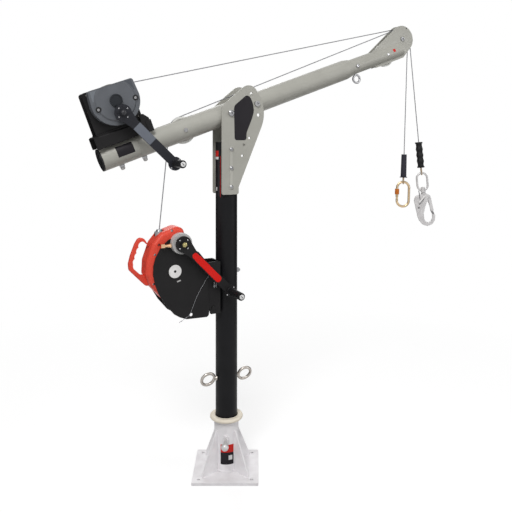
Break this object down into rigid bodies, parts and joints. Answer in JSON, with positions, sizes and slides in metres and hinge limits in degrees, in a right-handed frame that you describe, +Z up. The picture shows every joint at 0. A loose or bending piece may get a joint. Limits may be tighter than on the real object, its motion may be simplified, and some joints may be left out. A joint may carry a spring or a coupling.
{
  "type": "davit_crane",
  "caption": "Confined-space davit: floor socket, swivelling mast, tilting telescopic jib with twin tip sheaves, geared hand winch, self-retracting lifeline block, carabiner and swivel hook.",
  "frame": {"origin": "on the mast's axis at the underside of the floor plate", "axes": "+Z up along the mast, +X towards the jib's tip, the winch and cranks on the -Y side"},
  "size_m": [1.9212, 0.4285, 2.1663],
  "materials": {
    "galvanised": "satin",
    "liner": "matte",
    "bright": "polished",
    "black_paint": "satin",
    "grey_paint": "satin",
    "black_steel": "satin",
    "red_plastic": "gloss",
    "cast_grey": "matte",
    "rope_steel": "brushed",
    "silver_alloy": "satin",
    "red_vinyl": "gloss",
    "black_plastic": "matte",
    "brass": "polished",
    "zinc": "brushed",
    "slate_plastic": "satin",
    "nylon": "matte",
    "charcoal_steel": "satin",
    "rubber_grip": "matte",
    "gold_zinc": "satin"
  },
  "bodies": {
    "base": {"base_plate": "galvanised", "base_socket": "galvanised", "socket_liner": "liner"},
    "clamp": {"lock_screw": "bright"},
    "mast": {"mast_tube": "black_paint", "mast_eye_bolts": "bright", "head_plate_front": "grey_paint", "head_plate_back": "grey_paint", "head_strips": "grey_paint", "head_bolts": "bright", "jib_pivot_bolt": "bright", "mast_bracket": "black_steel", "bracket_bolts": "bright", "block_foot": "black_steel", "block_shells": "red_plastic", "block_screws": "bright", "block_plate_front": "black_steel", "block_plate_back": "black_steel", "block_nozzle": "bright", "block_crank_boss": "cast_grey", "pin_lanyard": "rope_steel", "lifeline_riser": "rope_steel"},
    "hitch": {"hitch_pin": "bright"},
    "lifeline_drum": {"block_drum": "silver_alloy"},
    "rescue_crank": {"block_crank": "black_steel", "block_crank_panel": "red_vinyl"},
    "rescue_grip": {"block_crank_grip": "black_plastic"},
    "shift_knob": {"block_shift_knob": "brass"},
    "jib": {"jib_outer_tube": "grey_paint", "jib_end_cap": "black_plastic", "rear_sheave_axle": "bright", "winch_saddle": "black_steel", "winch_clamp_bolts": "bright", "winch_frame": "black_steel", "winch_hardware": "zinc", "winch_cover": "slate_plastic"},
    "lock_pin": {"jib_lock_pin": "bright"},
    "rear_wheel": {"rear_sheave": "nylon"},
    "winch_reel": {"winch_drum": "zinc"},
    "winch_handle": {"winch_crank": "charcoal_steel", "winch_crank_panel": "slate_plastic"},
    "winch_knob": {"winch_crank_grip": "black_plastic"},
    "telescope": {"jib_inner_tube": "grey_paint", "tip_cheeks": "grey_paint", "tip_axles": "bright", "jib_eye_bolt": "bright", "winch_line_run": "rope_steel", "lifeline_run": "rope_steel"},
    "tip_wheel_front": {"tip_sheave_front": "nylon"},
    "tip_wheel_back": {"tip_sheave_back": "nylon"},
    "guide_wheel": {"tip_guide_pulley": "nylon"},
    "winch_drop": {"left_line": "rope_steel", "left_grip": "rubber_grip", "carabiner": "gold_zinc"},
    "carabiner_latch": {"carabiner_gate": "gold_zinc"},
    "lifeline_drop": {"right_line": "rope_steel", "right_grip": "rubber_grip", "hook_bow": "bright"},
    "swivel_hook": {"hook_body": "bright"},
    "hook_latch": {"hook_gate": "bright"}
  },
  "joints": [
    {"name": "clamp_screw", "type": "slide", "parent": "base", "child": "clamp", "axis": [-0.4384, -0.8988, 0], "range_m": [0, 0.004]},
    {"name": "mast_swivel", "type": "hinge", "parent": "base", "child": "mast", "pos_m": [0, 0, 0.2], "axis": [0, 0, 1], "continuous": true},
    {"name": "jib_tilt", "type": "hinge", "parent": "mast", "child": "jib", "pos_m": [0, 0, 1.667], "axis": [0, -1, 0], "range_deg": [-22, 22], "deforming": ["jib_lock_pin", "lifeline_riser", "winch_line_run", "lifeline_run"]},
    {"name": "lock_pin_pull", "type": "slide", "parent": "jib", "child": "lock_pin", "axis": [0, -1, 0], "range_m": [0, 0.14]},
    {"name": "jib_extend", "type": "slide", "parent": "jib", "child": "telescope", "axis": [0.9397, 0, 0.342], "range_m": [0, 0.3], "deforming": ["winch_line_run", "lifeline_run"]},
    {"name": "rear_sheave_turn", "type": "hinge", "parent": "jib", "child": "rear_wheel", "pos_m": [-0.21895, 0, 1.58731], "axis": [0, 1, 0], "continuous": true},
    {"name": "winch_drum_turn", "type": "hinge", "parent": "jib", "child": "winch_reel", "pos_m": [-0.54014, 0, 1.70665], "axis": [0, -1, 0], "continuous": true},
    {"name": "winch_crank_turn", "type": "hinge", "parent": "jib", "child": "winch_handle", "pos_m": [-0.51676, 0, 1.65412], "axis": [0, -1, 0], "continuous": true},
    {"name": "winch_grip_turn", "type": "hinge", "parent": "winch_handle", "child": "winch_knob", "pos_m": [-0.29044, -0.112, 1.43935], "axis": [0, 1, 0], "continuous": true},
    {"name": "tip_sheave_front_turn", "type": "hinge", "parent": "telescope", "child": "tip_wheel_front", "pos_m": [1.02784, 0, 2.09431], "axis": [0, 1, 0], "continuous": true},
    {"name": "tip_sheave_back_turn", "type": "hinge", "parent": "telescope", "child": "tip_wheel_back", "pos_m": [1.02784, 0, 2.09431], "axis": [0, 1, 0], "continuous": true},
    {"name": "guide_pulley_turn", "type": "hinge", "parent": "telescope", "child": "guide_wheel", "pos_m": [0.91714, 0, 2.00081], "axis": [0, 1, 0], "continuous": true},
    {"name": "winch_line_swing", "type": "hinge", "parent": "telescope", "child": "winch_drop", "pos_m": [1.02784, 0, 2.09431], "axis": [0, 1, 0], "range_deg": [-35, 35]},
    {"name": "lifeline_swing", "type": "hinge", "parent": "telescope", "child": "lifeline_drop", "pos_m": [1.02784, 0, 2.09431], "axis": [0, 1, 0], "range_deg": [-35, 35]},
    {"name": "carabiner_gate_open", "type": "hinge", "parent": "winch_drop", "child": "carabiner_latch", "pos_m": [1.02431, 0.02175, 1.23164], "axis": [0.4379, 0.8988, -0.017], "range_deg": [0, 20], "stiffness_Nm_per_rad": 0.2, "springref_deg": -11.46},
    {"name": "hook_swivel", "type": "hinge", "parent": "lifeline_drop", "child": "swivel_hook", "pos_m": [1.18259, -0.0075, 1.26842], "axis": [-0.1149, 0, 0.9934], "continuous": true},
    {"name": "hook_gate_open", "type": "hinge", "parent": "swivel_hook", "child": "hook_latch", "pos_m": [1.21477, -0.02074, 1.22639], "axis": [0.4358, 0.8986, 0.051], "range_deg": [0, 18], "stiffness_Nm_per_rad": 0.2, "springref_deg": -11.46},
    {"name": "hitch_pin_pull", "type": "slide", "parent": "mast", "child": "hitch", "axis": [0, 1, 0], "range_m": [0, 0.004]},
    {"name": "lifeline_drum_turn", "type": "hinge", "parent": "mast", "child": "lifeline_drum", "pos_m": [-0.272, 0, 0.961], "axis": [0, 1, 0], "continuous": true},
    {"name": "rescue_crank_turn", "type": "hinge", "parent": "mast", "child": "rescue_crank", "pos_m": [-0.247, -0.098, 1.085], "axis": [0, 1, 0], "continuous": true},
    {"name": "rescue_grip_turn", "type": "hinge", "parent": "rescue_crank", "child": "rescue_grip", "pos_m": [-0.02521, -0.098, 0.85851], "axis": [0, 1, 0], "continuous": true},
    {"name": "shift_knob_pull", "type": "slide", "parent": "mast", "child": "shift_knob", "axis": [-1, 0, 0], "range_m": [0, 0.01]}
  ],
  "couplings": [
    {"joint": "winch_crank_turn", "follows": "winch_drum_turn", "ratio": -3.6},
    {"joint": "winch_line_swing", "follows": "jib_tilt", "ratio": 1},
    {"joint": "lifeline_swing", "follows": "jib_tilt", "ratio": 1}
  ]
}
